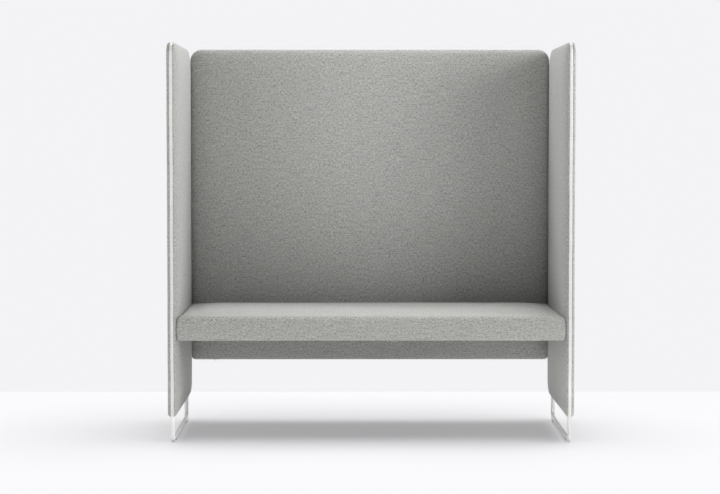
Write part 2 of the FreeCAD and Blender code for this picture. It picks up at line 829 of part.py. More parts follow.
def back_cover():
    """Sock of fabric with a slot for the zip in its lower edge and holes for the sleeves."""
    slot = box(
        -back_zip_half(), back_zip_half(), back_rear - zip_inner_edge, back_rear - zip_outer_edge,
        back_clearance - fabric, back_clearance + fabric * 2)
    size = sleeve_diameter + clearance * 4
    holes = [stud_x(-width / 2, width / 2, back_rod, z, size) for z in back_bolts_at]
    return cut(back_form(0.0, 0), [back_form(fabric, inside_steps), slot] + holes)


def back_stringer(way):
    """Straight tape with its coil; way -1 is the half towards the front, +1 towards the rear."""
    half = back_zip_half() + zip_tuck
    coil = sorted((back_rod + way * coil_split / 2, back_rod + way * chain_half))
    tape = sorted((back_rod + way * coil_split / 2, back_rod + way * (zip_band / 2 + zip_tuck)))
    rim = back_clearance
    run = back_zip_half() - clearance
    return fused([
        box(-run, run, coil[0], coil[1], rim + coil_depth, rim + tape_level),
        box(-half, half, tape[0], tape[1], rim + tape_level, rim + tape_level + tape_thickness),
    ])


def back_slider():
    """The slider turned to face down, its chain along X, near the left end of the zip."""
    body = slider_body()
    body.rotate(Vector(), Vector(1, 0, 0), -90)
    body.rotate(Vector(), Vector(0, 0, 1), -90)
    body.translate(Vector(-back_zip_half() + back_slider_rest, back_rod, back_clearance))
    return body


# Fixings
def bolt(head_level, end_level, y, z):
    """Low-headed bolt along panel space X, from under its head to its end."""
    head = stud_x(head_level - bolt_head_height, head_level, y, z, bolt_head)
    return head.fuse(stud_x(head_level, end_level, y, z, bolt_diameter))


def sleeve(start, end, y, z):
    outside = stud_x(start, end, y, z, sleeve_diameter)
    return outside.cut(stud_x(start, end, y, z, bolt_diameter + bolt_play))


def plate_level():
    return width / 2 - plate_half


def back_bar_level():
    return width / 2 - back_bars()[1] - bar_size / 2


def seat_bolts():
    end = plate_level() + end_plate + nut_height
    return both_sides([bolt(rod_level - rail_thickness / 2, end, y, seat_bolt_level) for y in seat_bolts_at])


def seat_sleeves():
    start = rod_level + rail_thickness / 2
    return both_sides([sleeve(start, plate_level(), y, seat_bolt_level) for y in seat_bolts_at])


def back_bolts():
    end = back_bar_level() + bar_size
    return both_sides([bolt(bar_outer, end, back_rod, z) for z in back_bolts_at])


def back_sleeves():
    return both_sides([sleeve(bar_inner, back_bar_level(), back_rod, z) for z in back_bolts_at])


def leg_pins():
    return both_sides([leg_pin(y, 0.0) for y in (front_rod, rear_rod)])


# Placing
def on_left(shape):
    return shape.translated(Vector(-width / 2, 0, 0))


def on_right(shape):
    return shape.mirror(Vector(), Vector(1, 0, 0)).translated(Vector(width / 2, 0, 0))


def both_sides(shapes):
    return Part.makeCompound([on_left(s) for s in shapes] + [on_right(s) for s in shapes])


side_pieces = {
    "frame": side_frame(),
    "sled": side_sled(),
    "upper_board": upper_board(),
    "lower_board": lower_board(),
    "board_screws": board_screws(),
    "inner_foam": inner_foam(),
    "inner_cover": inner_cover(),
    "outer_foam": outer_foam(),
    "outer_cover": outer_cover(),
    "zip_inner_stringer": side_stringer(1),
    "zip_outer_stringer": side_stringer(-1),
    "zip_slider": slider_body().translated(side_slider_place()),
    "zip_pull": pull_tab().translated(side_slider_place()),
    "glides": glides(),
}

pieces = {
    "seat_frame": seat_frame(),
    "seat_board": seat_board(),
    "seat_board_screws": seat_board_screws(),
    "seat_foam": seat_foam(),
    "seat_cover": seat_cover(),
    "seat_lining": seat_lining(),
    "back_frame": back_frame(),
    "back_board": back_board(),
    "back_board_screws": back_board_screws(),
    "back_front_foam": back_front_foam(),
    "back_rear_foam": back_rear_foam(),
    "back_cover": back_cover(),
    "back_zip_front_stringer": back_stringer(-1),
    "back_zip_rear_stringer": back_stringer(1),
    "back_zip_slider": back_slider(),
    "seat_bolts": seat_bolts(),
    "seat_sleeves": seat_sleeves(),
    "back_bolts": back_bolts(),
    "back_sleeves": back_sleeves(),
    "leg_pins": leg_pins(),
}
for name, shape in side_pieces.items():
    pieces["left_" + name] = on_left(shape)
    pieces["right_" + name] = on_right(shape)

os.makedirs("parts", exist_ok=True)
for name, shape in pieces.items():
    shape.exportStep("parts/" + name + ".step")
print(len(pieces), "pieces written")
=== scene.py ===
import bpy
import bmesh
import json
import math
import numpy as np
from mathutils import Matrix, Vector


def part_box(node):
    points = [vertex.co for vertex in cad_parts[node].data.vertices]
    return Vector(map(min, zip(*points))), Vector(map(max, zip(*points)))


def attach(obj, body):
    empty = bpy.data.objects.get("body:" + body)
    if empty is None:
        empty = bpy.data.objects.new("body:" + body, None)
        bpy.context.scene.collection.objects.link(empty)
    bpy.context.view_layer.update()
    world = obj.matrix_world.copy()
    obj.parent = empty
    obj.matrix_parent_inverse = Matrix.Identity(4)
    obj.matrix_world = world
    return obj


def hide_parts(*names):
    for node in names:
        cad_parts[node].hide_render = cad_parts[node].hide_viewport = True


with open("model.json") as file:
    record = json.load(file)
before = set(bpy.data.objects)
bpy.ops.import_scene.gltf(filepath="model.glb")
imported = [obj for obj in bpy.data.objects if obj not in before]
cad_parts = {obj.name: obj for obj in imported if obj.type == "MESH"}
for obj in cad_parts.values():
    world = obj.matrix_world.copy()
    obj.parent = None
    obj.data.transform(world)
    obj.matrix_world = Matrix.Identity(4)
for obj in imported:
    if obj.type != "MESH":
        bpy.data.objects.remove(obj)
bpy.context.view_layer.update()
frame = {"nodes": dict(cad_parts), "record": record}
scene = bpy.context.scene
nodes = frame["nodes"]
mm = 0.001
tiny = 1e-6
print("frame loaded:", len(nodes), "nodes")


# Rounded rectangles and the padded forms made from them

gridValues = {
    "tight": 0.22,         # spacing beside a corner, against the middle of an edge
    "reach": 4.0,          # number of points over which the spacing opens
}


def spread(count):
    step = np.arange(count - 1)
    near = np.minimum(step, step[::-1])
    weight = 1 - (1 - gridValues["tight"]) * np.exp(-near / gridValues["reach"])
    return np.concatenate([[0.0], np.cumsum(weight)]) / weight.sum()


def edgeRun(length, first, last, count):
    # half of the first corner, the straight and half of the last corner
    eighth = math.pi / 4
    arcFirst, arcLast = first * eighth, last * eighth
    middle = max(length - first - last, 0.0)
    way = spread(count) * (arcFirst + middle + arcLast)
    turnFirst = np.clip(eighth - way / max(first, tiny), 0, eighth)
    turnLast = np.clip((way - arcFirst - middle) / max(last, tiny), 0, eighth)
    along = first * (1 - np.sin(turnFirst)) + np.clip(way - arcFirst, 0, middle) + last * np.sin(turnLast)
    inward = first * (1 - np.cos(turnFirst)) + last * (1 - np.cos(turnLast))
    return along, inward


def ringGrid(box, insets, radii, columns, rows):
    # one rounded rectangle for each inset, all on one grid of points
    grid = np.zeros((rows, columns, 2))
    for d, inset in enumerate(insets):
        u0, v0, u1, v1 = box[0] + inset, box[1] + inset, box[2] - inset, box[3] - inset
        most = max(min(u1 - u0, v1 - v0) / 2, 0.0)
        lowLeft, lowRight, upRight, upLeft = [min(max(r, 0.0), most) for r in radii(inset)]
        i, j = slice(d, columns - d), slice(d, rows - d)
        if columns - 2 * d > 1:
            along, inward = edgeRun(u1 - u0, lowLeft, lowRight, columns - 2 * d)
            grid[d, i] = np.stack([u0 + along, v0 + inward], -1)
            along, inward = edgeRun(u1 - u0, upLeft, upRight, columns - 2 * d)
            grid[rows - 1 - d, i] = np.stack([u0 + along, v1 - inward], -1)
        if rows - 2 * d > 1:
            along, inward = edgeRun(v1 - v0, lowLeft, upLeft, rows - 2 * d)
            grid[j, d] = np.stack([u0 + inward, v0 + along], -1)
            along, inward = edgeRun(v1 - v0, lowRight, upRight, rows - 2 * d)
            grid[j, columns - 1 - d] = np.stack([u1 - inward, v0 + along], -1)
    return grid


def padGrid(box, profile, radii, step):
    # profile: (inset, level) pairs from the outer rim inwards; the middle is then filled in equal steps
    wide, high = box[2] - box[0], box[3] - box[1]
    half = min(wide, high) / 2
    inset, level = profile[-1]
    more = max(int(round((half - inset) / step)), 1)
    rings = list(profile) + [(inset + (half - inset) * (k + 1) / more, level) for k in range(more)]
    short = 2 * len(rings) - 1
    long = short + int(abs(wide - high) / step)
    columns, rows = (short, long) if high > wide else (long, short)
    insets = [pair[0] for pair in rings]
    flat = [insets[-1]]
    for k in range(len(rings) - 2, -1, -1):  # lengths along the cloth, so that the weave isn't stretched
        flat.insert(0, flat[0] - math.dist(rings[k], rings[k + 1]))
    i, j = np.meshgrid(np.arange(columns), np.arange(rows))
    ring = np.minimum(np.minimum(i, columns - 1 - i), np.minimum(j, rows - 1 - j))
    return {
        "place": ringGrid(box, insets, radii, columns, rows),
        "weave": ringGrid(box, flat, radii, columns, rows),
        "level": np.array([pair[1] for pair in rings])[ring],
        "inset": np.array(insets)[ring],
        "ring": ring,
        "rows": rows,
        "columns": columns,
    }


def openingRadii(values):
    # corners that open towards the middle of the pad
    def radii(inset):
        low = values["lowRadius"] + values["growth"] * inset
        top = values["topRadius"] + values["growth"] * inset
        return low, low, top, top
    return radii


def rolled(roll, first, last, turns):
    # an edge that rolls over from one level to another, at shares of a quarter turn
    angles = [share * math.pi / 2 for share in turns]
    return [(roll * (1 - math.cos(a)), first + (last - first) * math.sin(a)) for a in angles]


def fadeOut(distance, start, run):
    return np.clip(1 - (distance - start) / run, 0, 1)


def gridFaces(columns, rows, start=0):
    i, j = np.meshgrid(np.arange(columns - 1), np.arange(rows - 1))
    a = (start + j * columns + i).ravel()
    return np.stack([a, a + 1, a + columns + 1, a + columns], -1).tolist()


def closedFaces(columns, rows):
    # the grid and one flat face across its open side
    low = list(range(columns))
    right = [j * columns + columns - 1 for j in range(1, rows)]
    top = [(rows - 1) * columns + i for i in range(columns - 2, -1, -1)]
    left = [j * columns for j in range(rows - 2, 0, -1)]
    return gridFaces(columns, rows) + [low + right + top + left]


def meshPiece(name, points, faces, body, looks, weave=None, lookOf=None, smooth=True, merge=0.0):
    mesh = bpy.data.meshes.new(name)
    mesh.from_pydata((np.asarray(points) * mm).tolist(), [], faces)
    if weave is not None:
        layer = mesh.attributes.new("weave", "FLOAT_VECTOR", "POINT")
        flat = np.zeros((len(points), 3), dtype=np.float32)
        flat[:, :2] = np.asarray(weave).reshape(-1, 2) * mm
        layer.data.foreach_set("vector", flat.ravel())
    if lookOf is not None:
        mesh.polygons.foreach_set("material_index", lookOf)
    work = bmesh.new()
    work.from_mesh(mesh)
    if merge:
        bmesh.ops.remove_doubles(work, verts=work.verts, dist=merge * mm)
    bmesh.ops.recalc_face_normals(work, faces=work.faces)
    work.to_mesh(mesh)
    work.free()
    mesh.polygons.foreach_set("use_smooth", [smooth] * len(mesh.polygons))
    for look in looks:
        mesh.materials.append(look)
    piece = bpy.data.objects.new(name, mesh)
    scene.collection.objects.link(piece)
    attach(piece, body)
    return piece


def coverPiece(name, points, faces, weave, merge=0.0):
    return meshPiece(name, points, faces, "sofa", [looks["grey_fabric"]], weave, merge=merge)


clothValues = {
    "mass": 0.3,
    "stretch": 25.0,
    "bend": 3.0,
    "pressure": 4.0,
    "quality": 3,
    "frames": 20,
    "rim": 9,              # rings at the edge of a panel that keep their shape
}


def swell(name, points, hold, skip, cap):
    # the cloth inside the rim is blown up from within, and each point may move only as far as the cap
    rows, columns = hold.shape
    moved = np.zeros((rows, columns, 3))
    inner = points[skip:rows - skip, skip:columns - skip]
    held = hold[skip:rows - skip, skip:columns - skip].copy()
    held[[0, -1], :] = 1.0
    held[:, [0, -1]] = 1.0
    before = (inner.reshape(-1, 3) * mm).astype(np.float32)
    mesh = bpy.data.meshes.new(name)
    mesh.from_pydata(before.tolist(), [], gridFaces(inner.shape[1], inner.shape[0]))
    work = bpy.data.objects.new(name, mesh)
    scene.collection.objects.link(work)
    group = work.vertex_groups.new(name="hold")
    for k, share in enumerate(held.ravel()):
        group.add([k], float(share), "REPLACE")
    cloth = work.modifiers.new("cloth", "CLOTH")
    settings = cloth.settings
    settings.quality = clothValues["quality"]
    settings.mass = clothValues["mass"]
    settings.tension_stiffness = clothValues["stretch"]
    settings.compression_stiffness = clothValues["stretch"]
    settings.shear_stiffness = clothValues["stretch"] / 2
    settings.bending_stiffness = clothValues["bend"]
    settings.vertex_group_mass = "hold"
    settings.use_pressure = True
    settings.uniform_pressure_force = clothValues["pressure"]
    settings.effector_weights.gravity = 0.0
    cloth.collision_settings.use_collision = False
    cloth.point_cache.frame_start = 1
    cloth.point_cache.frame_end = clothValues["frames"]
    for number in range(1, clothValues["frames"] + 1):
        scene.frame_set(number)
    after = np.zeros(before.size, dtype=np.float32)
    work.evaluated_get(bpy.context.evaluated_depsgraph_get()).data.vertices.foreach_get("co", after)
    move = (after.reshape(-1, 3) - before) / mm
    length = np.maximum(np.linalg.norm(move, axis=1, keepdims=True), tiny)
    print(name, "swells by", round(float(length.max()), 2), "mm before the cap")
    move *= cap * np.tanh(length / cap) / length
    bpy.data.objects.remove(work)
    bpy.data.meshes.remove(mesh)
    scene.frame_set(1)
    moved[skip:rows - skip, skip:columns - skip] = move.reshape(inner.shape)
    return moved


# Materials

class Wire:
    def __init__(self, tree, socket=None):
        self.tree = tree
        self.socket = socket

    def node(self, kind, settings=None, sockets=None, out=0):
        made = self.tree.nodes.new(kind)
        for name, value in (settings or {}).items():
            setattr(made, name, value)
        for name, value in (sockets or {}).items():
            if isinstance(value, Wire):
                self.tree.links.new(value.socket, made.inputs[name])
            else:
                made.inputs[name].default_value = value
        return Wire(self.tree, made.outputs[out] if made.outputs else None)

    def sum(self, how, first, second=0.0):
        return self.node("ShaderNodeMath", {"operation": how}, {0: first, 1: second})

    def sine(self):
        return self.sum("SINE", self)

    def __add__(self, other):
        return self.sum("ADD", self, other)

    def __radd__(self, other):
        return self.sum("ADD", other, self)

    def __sub__(self, other):
        return self.sum("SUBTRACT", self, other)

    def __rsub__(self, other):
        return self.sum("SUBTRACT", other, self)

    def __mul__(self, other):
        return self.sum("MULTIPLY", self, other)

    def __rmul__(self, other):
        return self.sum("MULTIPLY", other, self)


def newLook(name):
    look = bpy.data.materials.new(name)
    look.use_nodes = True
    look.node_tree.nodes.clear()
    return look, Wire(look.node_tree)


def closeLook(start, colour, rough, height, values):
    relief = {"Strength": 1.0, "Distance": values["relief"], "Height": height}
    normal = start.node("ShaderNodeBump", {}, relief)
    sockets = {"Base Color": colour, "Roughness": rough, "Normal": normal}
    sockets.update(values["fixed"])
    shader = start.node("ShaderNodeBsdfPrincipled", {}, sockets)
    start.node("ShaderNodeOutputMaterial", {}, {"Surface": shader})


def objectSpot(start):
    return start.node("ShaderNodeTexCoord", {}, {}, "Object")


def axis(start, vector, letter):
    return start.node("ShaderNodeSeparateXYZ", {}, {"Vector": vector}, letter)


def noise(start, where, size, detail, rough):
    return start.node("ShaderNodeTexNoise", {"noise_dimensions": "3D"},
                      {"Vector": where, "Scale": 1 / size, "Detail": detail, "Roughness": rough}, "Fac")


def stretch(start, where, amounts):
    return start.node("ShaderNodeVectorMath", {"operation": "MULTIPLY"}, {0: where, 1: amounts}, "Vector")


def vary(pattern, amount):
    return (pattern - 0.5) * amount


def around(pair, pattern):
    middle, amount = pair
    return middle + vary(pattern, amount)


def mixColour(start, share, first, second):
    return start.node("ShaderNodeMix", {"data_type": "RGBA", "clamp_factor": True},
                      {0: share, 6: first, 7: second}, 2)


# In each look a pattern is given as its size, detail and roughness, and "rough" as its middle and its range

fabricValues = {
    "dark": (0.187, 0.1885, 0.173, 1),
    "light": (0.56, 0.5615, 0.542, 1),
    "yarn": 1.3 * mm,        # distance from one yarn to the next
    "fleck": (2.8 * mm, 3.0, 0.65),
    "fleckLong": 0.28,       # the flecks are drawn out along their yarns
    "slub": (3.2 * mm, 2.0, 0.5),  # long uneven yarns
    "slubLong": 0.05,
    "cloud": (7.0 * mm, 2.0, 0.55),
    "fuzz": (0.5 * mm, 2.0, 0.6),
    "fleckTone": 1.75,       # how far each of these goes from dark to light
    "slubTone": 0.6,
    "cloudTone": 0.45,
    "fuzzTone": 0.5,
    "crossTone": 0.06,
    "crossHigh": 0.35,       # and how high it stands
    "fuzzHigh": 0.8,
    "fleckHigh": 0.4,
    "rough": (0.86, 0.2),
    "relief": 0.25 * mm,
    "fixed": {"Specular IOR Level": 0.18, "Sheen Weight": 0.4, "Sheen Roughness": 0.4,
              "Sheen Tint": (0.92, 0.92, 0.95, 1)},
}


def fabricLook(name, values):
    look, start = newLook(name)
    where = start.node("ShaderNodeAttribute", {"attribute_name": "weave"}, {}, "Vector")
    turn = 2 * math.pi / values["yarn"]
    warp = (axis(start, where, "X") * turn).sine()
    weft = (axis(start, where, "Y") * turn).sine()
    crossing = warp * weft  # over and under
    alongWarp = stretch(start, where, (values["fleckLong"], 1.0, 1.0))
    alongWeft = stretch(start, where, (1.0, values["fleckLong"], 1.0))
    flecksU = noise(start, alongWarp, *values["fleck"])
    flecksV = noise(start, alongWeft, *values["fleck"])
    slub = noise(start, stretch(start, where, (values["slubLong"], 1.0, 1.0)), *values["slub"])
    cloud = noise(start, where, *values["cloud"])
    fuzz = noise(start, where, *values["fuzz"])
    flecks = (flecksU + flecksV - 1.0) * values["fleckTone"]
    patches = vary(slub, values["slubTone"]) + vary(cloud, values["cloudTone"])
    share = 0.5 + flecks + patches + vary(fuzz, values["fuzzTone"]) + crossing * values["crossTone"]
    colour = mixColour(start, share, values["dark"], values["light"])
    height = crossing * values["crossHigh"] + fuzz * values["fuzzHigh"]
    height = height + flecksU * values["fleckHigh"] + flecksV * values["fleckHigh"]
    closeLook(start, colour, around(values["rough"], fuzz), height, values)
    return look


coatValues = {
    "finishes": {            # main colour, second colour and roughness
        "white_coat": ((0.88, 0.88, 0.877, 1), (0.83, 0.83, 0.825, 1), 0.36),
        "black_coat": ((0.028, 0.028, 0.03, 1), (0.06, 0.058, 0.056, 1), 0.5),
        "white_slider": ((0.88, 0.88, 0.877, 1), (0.83, 0.83, 0.825, 1), 0.3),
    },
    "peel": (1.1 * mm, 2.0, 0.5),  # orange peel of the powder coat
    "peelRough": 0.08,
    "patch": (60 * mm, 3.0, 0.6),
    "patchFrom": 0.35,
    "patchTone": 1.6,
    "patchRough": 0.12,
    "relief": 0.03 * mm,
    "fixed": {"Specular IOR Level": 0.5, "Coat Weight": 0.08, "Coat Roughness": 0.25},
}


def coatLook(name, values):
    look, start = newLook(name)
    where = objectSpot(start)
    first, second, rough = values["finishes"][name]
    peel = noise(start, where, *values["peel"])
    patch = noise(start, where, *values["patch"])
    colour = mixColour(start, (patch - values["patchFrom"]) * values["patchTone"], first, second)
    rough = rough + vary(patch, values["patchRough"]) + vary(peel, values["peelRough"])
    closeLook(start, colour, rough, peel, values)
    return look


toothValues = {
    "main": (0.95, 0.95, 0.945, 1),
    "shade": (0.9, 0.9, 0.895, 1),
    "grain": (0.8 * mm, 2.0, 0.5),
    "patch": (25 * mm, 2.0, 0.5),
    "patchFrom": 0.4,
    "patchTone": 1.8,
    "rough": (0.36, 0.2),
    "relief": 0.02 * mm,
    "fixed": {"Specular IOR Level": 0.5},
}


def toothLook(name, values):
    look, start = newLook(name)
    where = objectSpot(start)
    grain = noise(start, where, *values["grain"])
    patch = noise(start, where, *values["patch"])
    share = (patch - values["patchFrom"]) * values["patchTone"]
    colour = mixColour(start, share, values["main"], values["shade"])
    closeLook(start, colour, around(values["rough"], grain), grain, values)
    return look


tapeValues = {
    "main": (0.945, 0.945, 0.94, 1),
    "shade": (0.85, 0.85, 0.84, 1),
    "rib": 0.9 * mm,         # slanting ribs of the weave
    "ribTone": 0.2,
    "ribHigh": 0.6,
    "fuzz": (0.6 * mm, 2.0, 0.6),
    "fuzzTone": 0.9,
    "fuzzHigh": 0.5,
    "tone": 0.25,
    "rough": (0.8, 0.2),
    "relief": 0.1 * mm,
    "fixed": {"Specular IOR Level": 0.25, "Sheen Weight": 0.15, "Sheen Roughness": 0.5},
}


def tapeLook(name, values):
    look, start = newLook(name)
    where = objectSpot(start)
    slant = axis(start, where, "X") + axis(start, where, "Y") + axis(start, where, "Z")
    rib = (slant * (2 * math.pi / values["rib"])).sine()
    fuzz = noise(start, where, *values["fuzz"])
    share = values["tone"] + rib * values["ribTone"] + vary(fuzz, values["fuzzTone"])
    colour = mixColour(start, share, values["main"], values["shade"])
    height = rib * values["ribHigh"] + fuzz * values["fuzzHigh"]
    closeLook(start, colour, around(values["rough"], fuzz), height, values)
    return look


steelValues = {
    "dark": (0.5, 0.5, 0.52, 1),
    "light": (0.68, 0.68, 0.7, 1),
    "spangle": 2.2 * mm,     # size of the crystals in the zinc
    "spangleTone": 0.5,
    "grain": (0.7 * mm, 3.0, 0.6),
    "grainTone": 0.5,
    "rough": (0.32, 0.25),
    "relief": 0.02 * mm,
    "fixed": {"Metallic": 1.0},
}


def steelLook(name, values):
    look, start = newLook(name)
    where = objectSpot(start)
    spangle = start.node("ShaderNodeTexVoronoi", {"feature": "F1"},
                         {"Vector": where, "Scale": 1 / values["spangle"]}, "Color")
    grain = noise(start, where, *values["grain"])
    share = axis(start, spangle, "X") * values["spangleTone"] + grain * values["grainTone"]
    colour = mixColour(start, share, values["dark"], values["light"])
    closeLook(start, colour, around(values["rough"], grain), grain, values)
    return look


plywoodValues = {
    "dark": (0.48, 0.33, 0.19, 1),
    "light": (0.74, 0.6, 0.42, 1),
    "figure": (14 * mm, 4.0, 0.6),
    "figureLong": 0.06,      # figure and pores run up the board
    "figureTone": 0.9,
    "pore": (1.2 * mm, 2.0, 0.6),
    "poreLong": 0.04,
    "poreTone": 0.5,
    "ply": 1.4 * mm,
    "plyTone": 0.08,
    "plyHigh": 0.2,
    "rough": (0.62, 0.2),
    "relief": 0.08 * mm,
    "fixed": {"Specular IOR Level": 0.3},
}


def plywoodLook(name, values):
    look, start = newLook(name)
    where = objectSpot(start)
    figure = noise(start, stretch(start, where, (1.0, 1.0, values["figureLong"])), *values["figure"])
    pore = noise(start, stretch(start, where, (1.0, 1.0, values["poreLong"])), *values["pore"])
    layer = (axis(start, where, "X") * (math.pi / values["ply"])).sine()
    share = figure * values["figureTone"] + layer * values["plyTone"] + vary(pore, values["poreTone"])
    colour = mixColour(start, share, values["dark"], values["light"])
    closeLook(start, colour, around(values["rough"], pore), pore + layer * values["plyHigh"], values)
    return look


fleeceValues = {
    "dark": (0.012, 0.012, 0.013, 1),
    "light": (0.055, 0.055, 0.057, 1),
    "dot": 1.6 * mm,         # bonding points of the fleece under the seat
    "dotStray": 0.35,
    "dotTone": 0.3,
    "dotHigh": 0.7,
    "fibre": (0.9 * mm, 3.0, 0.65),
    "fibreLong": 0.3,
    "fibreTone": 1.1,
    "fibreHigh": 0.4,
    "tone": 0.2,
    "rough": (0.82, 0.2),
    "relief": 0.12 * mm,
    "fixed": {"Specular IOR Level": 0.25, "Sheen Weight": 0.1},
}


def fleeceLook(name, values):
    look, start = newLook(name)
    where = objectSpot(start)
    spacing = {"Vector": where, "Scale": 1 / values["dot"], "Randomness": values["dotStray"]}
    dots = start.node("ShaderNodeTexVoronoi", {"feature": "F1"}, spacing, "Distance")
    fibre = noise(start, stretch(start, where, (values["fibreLong"], 1.0, 1.0)), *values["fibre"])
    share = fibre * values["fibreTone"] + dots * values["dotTone"] - values["tone"]
    colour = mixColour(start, share, values["dark"], values["light"])
    height = dots * values["dotHigh"] + fibre * values["fibreHigh"]
    closeLook(start, colour, around(values["rough"], fibre), height, values)
    return look


glideValues = {
    "dark": (0.42, 0.42, 0.42, 1),
    "light": (0.56, 0.56, 0.55, 1),
    "cloud": (6 * mm, 3.0, 0.6),
    "scratch": (0.7 * mm, 2.0, 0.6),
    "scratchLong": 0.1,
    "rough": (0.42, 0.3),
    "relief": 0.04 * mm,
    "fixed": {"Specular IOR Level": 0.5},
}


def glideLook(name, values):
    look, start = newLook(name)
    where = objectSpot(start)
    cloud = noise(start, where, *values["cloud"])
    scratch = noise(start, stretch(start, where, (1.0, values["scratchLong"], 1.0)), *values["scratch"])
    colour = mixColour(start, cloud, values["dark"], values["light"])
    closeLook(start, colour, around(values["rough"], scratch), scratch, values)
    return look


looks = {name: coatLook(name, coatValues) for name in coatValues["finishes"]}
looks["grey_fabric"] = fabricLook("grey_fabric", fabricValues)
looks["white_tooth"] = toothLook("white_tooth", toothValues)
looks["white_tape"] = tapeLook("white_tape", tapeValues)
looks["zinc_steel"] = steelLook("zinc_steel", steelValues)
looks["plywood"] = plywoodLook("plywood", plywoodValues)
looks["black_lining"] = fleeceLook("black_lining", fleeceValues)
looks["glide_plastic"] = glideLook("glide_plastic", glideValues)
print("materials made:", len(looks))


# Side panels: an inner and an outer pad on each, and the zip between them

panelValues = {
    "middle": 16.2,        # level of the zip's middle over the outer face
    "band": 11.0,          # width of the zip between the two covers
    "lip": [(1.9, 3.0), (1.8, 0.9), (1.33, 0.15), (0.665, -0.05), (0.1, 0.25)],  # in, and away from the zip
    "crown": 41.5,         # level of the inner face
    "innerRoll": 70.0,     # how far in from the edge the inner face rolls
    "innerTurns": [0.045, 0.09, 0.15, 0.23, 0.32, 0.42, 0.53, 0.64, 0.75, 0.86, 1.0],
    "outerRoll": 9.0,
    "outerTurns": [0.1, 0.2, 0.32, 0.45, 0.58, 0.72, 0.86, 1.0],
    "outerFlat": 18.0,
    "topRadius": 40.0,
    "lowRadius": 12.0,
    "growth": 0.35,        # how much the corners open towards the middle
    "step": 13.0,
    "innerCap": 2.4,       # most that the cloth swells
    "outerCap": 1.6,
    "innerHold": (4.0, 50.0),  # where it starts to swell, in from the edge, and over what run
    "outerHold": (3.0, 30.0),
    "press": (8.0, 60.0),  # the same around the seat's ends and the back
    "drift": 0.33,         # how far the zip wanders on its way up
    "driftWaves": [(1.0, 61.0, 1.3), (0.55, 23.0, 2.2), (0.4, 131.0, -1.0)],  # share, length, shift
    "driftFront": 60.0,    # only the front edge drifts
    "driftLow": 20.0,      # it grows from here above the lower edge
    "driftTop": 180.0,     # and fades from here below the upper edge
    "driftRun": 120.0,
    "driftInset": 30.0,    # how far in the covers follow it
    "pucker": 0.3,         # small pulls along the seam
    "puckerUp": (5.3, 17.0),
    "puckerAlong": (5.9, 14.0),
    "puckerRun": 11.0,
    "innerSeed": 0.7,
    "outerSeed": 2.1,
}
coverLow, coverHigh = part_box("right_inner_cover")
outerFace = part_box("right_outer_cover")[1].x / mm
backLow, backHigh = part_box("back_cover")
seatLow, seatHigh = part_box("seat_cover")
panelBox = (coverLow.y / mm, coverLow.z / mm, coverHigh.y / mm, coverHigh.z / mm)
panelInnerEdge = panelValues["middle"] + panelValues["band"] / 2
panelOuterEdge = panelValues["middle"] - panelValues["band"] / 2


def wander(side, y, z):
    # small sideways drift of the zip up the front edge, none where the slider runs
    front = fadeOut(y, panelBox[0], panelValues["driftFront"])
    low = 1 - fadeOut(z, panelBox[1] + panelValues["driftLow"], panelValues["driftRun"])
    top = fadeOut(z, panelBox[3] - panelValues["driftTop"], panelValues["driftRun"])
    waves = panelValues["driftWaves"]
    swing = sum(share * np.sin(z / length + shift * side) for share, length, shift in waves)
    return panelValues["drift"] * front * low * top * swing


def pucker(y, z, inset, seed):
    up, along = panelValues["puckerUp"], panelValues["puckerAlong"]
    pull = np.sin(z / up[0] + seed) * np.sin(z / up[1] + 2 * seed)
    pull = pull + np.sin(y / along[0] + seed) * np.sin(y / along[1] + seed)
    return panelValues["pucker"] * pull * np.exp(-inset / panelValues["puckerRun"])


def innerProfile(values):
    lip = [(inset, panelInnerEdge + away) for inset, away in values["lip"]]
    return lip + rolled(values["innerRoll"], panelInnerEdge, values["crown"], values["innerTurns"])


def outerProfile(values):
    lip = [(inset, panelOuterEdge - away) for inset, away in values["lip"]]
    roll = rolled(values["outerRoll"], panelOuterEdge, 0.0, values["outerTurns"])
    return lip + roll + [(values["outerFlat"], 0.0)]


def heldInner(grid):
    y, z = grid["place"][..., 0], grid["place"][..., 1]
    press = panelValues["press"]
    rim = fadeOut(grid["inset"], *panelValues["innerHold"])
    seat = fadeOut(np.maximum(z - seatHigh.z / mm, seatLow.z / mm - z), *press)
    back = fadeOut(backLow.y / mm - y, *press) * (z > backLow.z / mm - press[1])
    return np.maximum(rim, np.maximum(seat, back))


def heldOuter(grid):
    return fadeOut(grid["inset"], *panelValues["outerHold"])


def panelSwelling(name, grid, outward, cap, hold):
    # the same for both sides, worked out on the level of the face alone
    y, z = grid["place"][..., 0], grid["place"][..., 1]
    points = np.stack([outward * grid["level"], outward * y, z], -1)
    return outward * swell(name, points, hold, clothValues["rim"], cap)[..., 0]


def panelPad(name, side, grid, swelling, seed, outward, replaced):
    y, z, inset = grid["place"][..., 0], grid["place"][..., 1], grid["inset"]
    fade = fadeOut(inset, 0.0, panelValues["driftInset"]) ** 2
    level = grid["level"] + swelling - side * wander(side, y, z) * fade
    level = level + outward * pucker(y, z, inset, seed) * (grid["ring"] > len(panelValues["lip"]))
    points = np.stack([side * (outerFace - level), y, z], -1).reshape(-1, 3)
    piece = coverPiece(name, points, closedFaces(grid["columns"], grid["rows"]), grid["weave"])
    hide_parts(*replaced)


